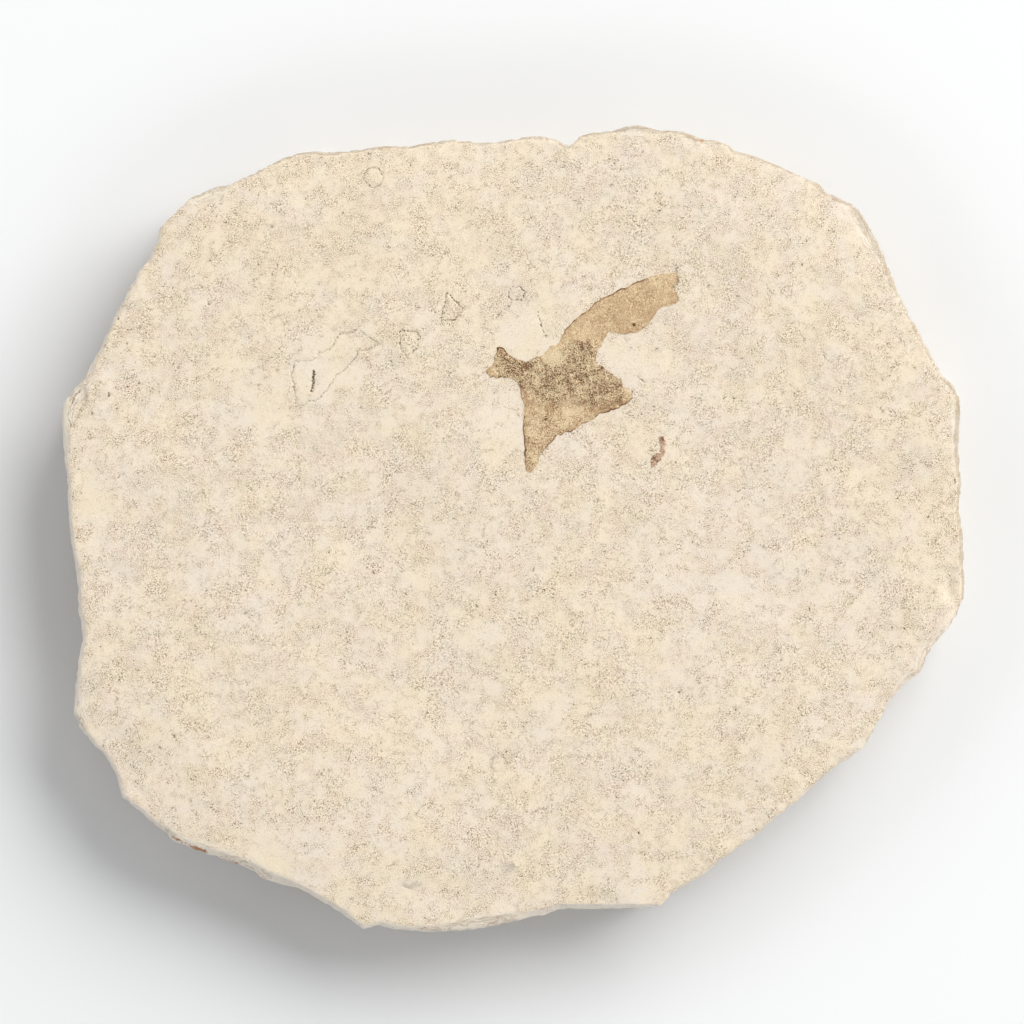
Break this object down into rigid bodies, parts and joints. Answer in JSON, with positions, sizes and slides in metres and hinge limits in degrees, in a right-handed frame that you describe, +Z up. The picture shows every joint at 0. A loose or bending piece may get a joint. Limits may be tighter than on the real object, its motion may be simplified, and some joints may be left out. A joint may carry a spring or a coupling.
{
  "type": "fossil insect slab",
  "caption": "Thin, flat, roughly round slab of cream bedded limestone with the brown compression fossil of an insect and one tiny second fossil on its split face.",
  "frame": {"origin": "middle of the slab's outline, on the flat underside that it rests on", "axes": "+Z up out of the split face that carries the fossils, +X along the slab's longest extent, and +Y towards the edge that the insect's wing is nearest to"},
  "size_m": [0.1, 0.0894, 0.0089],
  "materials": {
    "limestone": "matt, fine-grained, mottled cream with grey specks, rust stains on the broken edge",
    "insect_film": "thin tan to dark brown film, smooth on the wing and rough on the body",
    "small_fossil_film": "thin reddish-brown film, dark at its head end"
  },
  "bodies": {
    "root": {"slab": "limestone", "insect": "insect_film", "small_fossil": "small_fossil_film"}
  },
  "joints": []
}
